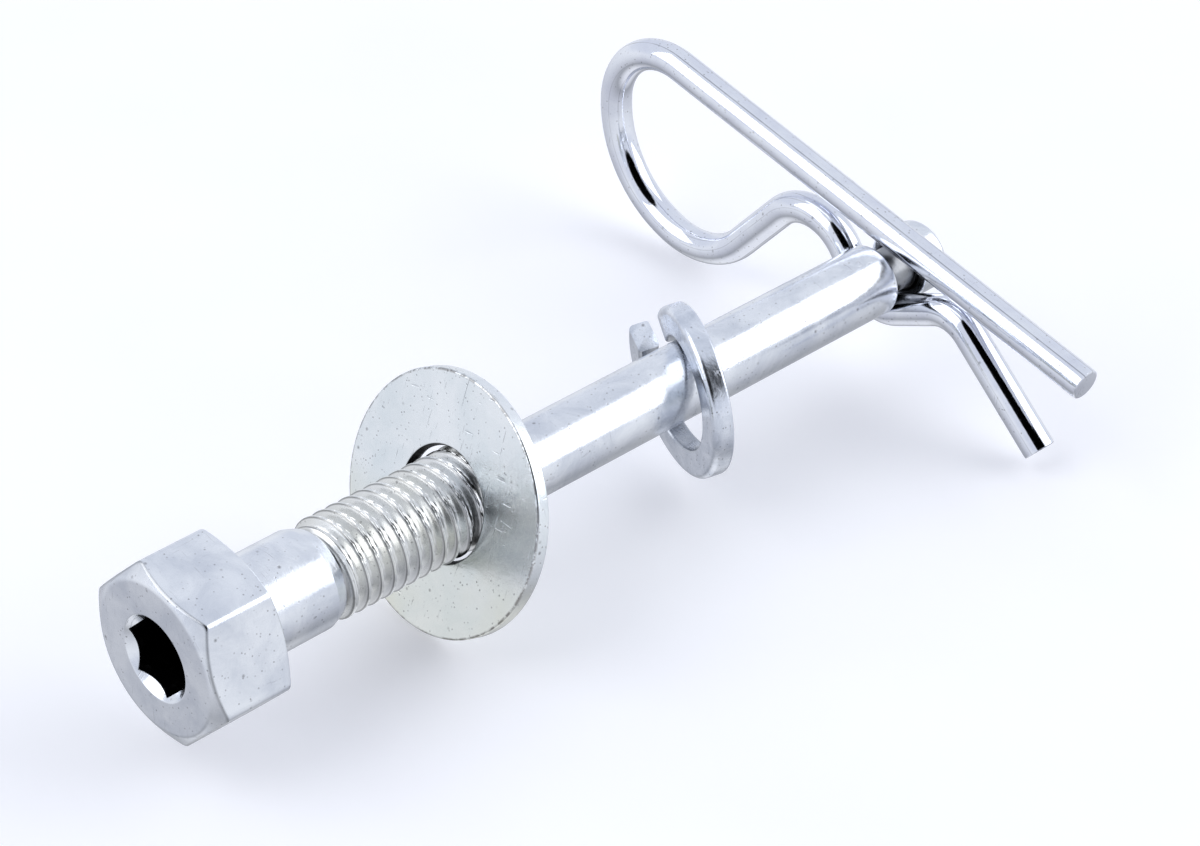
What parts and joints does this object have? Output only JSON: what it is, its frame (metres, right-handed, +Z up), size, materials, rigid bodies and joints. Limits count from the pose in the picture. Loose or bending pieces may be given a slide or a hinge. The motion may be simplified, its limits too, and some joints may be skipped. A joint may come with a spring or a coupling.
{
  "type": "hitch pin lock",
  "caption": "Hitch pin lock: hex-head, socketed, part-threaded pin with a plain shaft and a necked tip, carrying a flat washer and a split lock washer, kept in by a hairpin clip.",
  "frame": {"origin": "centre of the bounding box on the plane the part lies on, Z = 0", "axes": "+X along the pin's axis from the hexagon head to the clip end, +Y towards the clip's loop, +Z up"},
  "size_m": [0.1274, 0.0868, 0.0315],
  "materials": {
    "pin_zinc": "bright zinc plate, smooth satin, smeared forging grain on the head",
    "flat_washer_zinc": "zinc plate over stamped sheet, faint blue-green tint, pits and scratches",
    "lock_washer_zinc": "zinc plate over drawn square wire, blue-grey, tool marks on the rim",
    "clip_zinc": "bright zinc plate over smooth round spring wire, glossy"
  },
  "bodies": {
    "pin": {"hitch_pin": "pin_zinc"},
    "flat_washer": {"flat_washer": "flat_washer_zinc"},
    "lock_washer": {"lock_washer": "lock_washer_zinc"},
    "clip": {"hairpin_clip": "clip_zinc"}
  },
  "joints": [
    {"name": "flat_washer_slide", "type": "slide", "parent": "pin", "child": "flat_washer", "axis": [1, 0, 0], "range_m": [-0.025, 0.019]},
    {"name": "lock_washer_slide", "type": "slide", "parent": "pin", "child": "lock_washer", "axis": [1, 0, 0], "range_m": [-0.007, 0.025]},
    {"name": "clip_spin", "type": "hinge", "parent": "pin", "child": "clip", "pos_m": [0.0569, -0.00916, 0.01562], "axis": [1, 0, 0], "continuous": true}
  ]
}
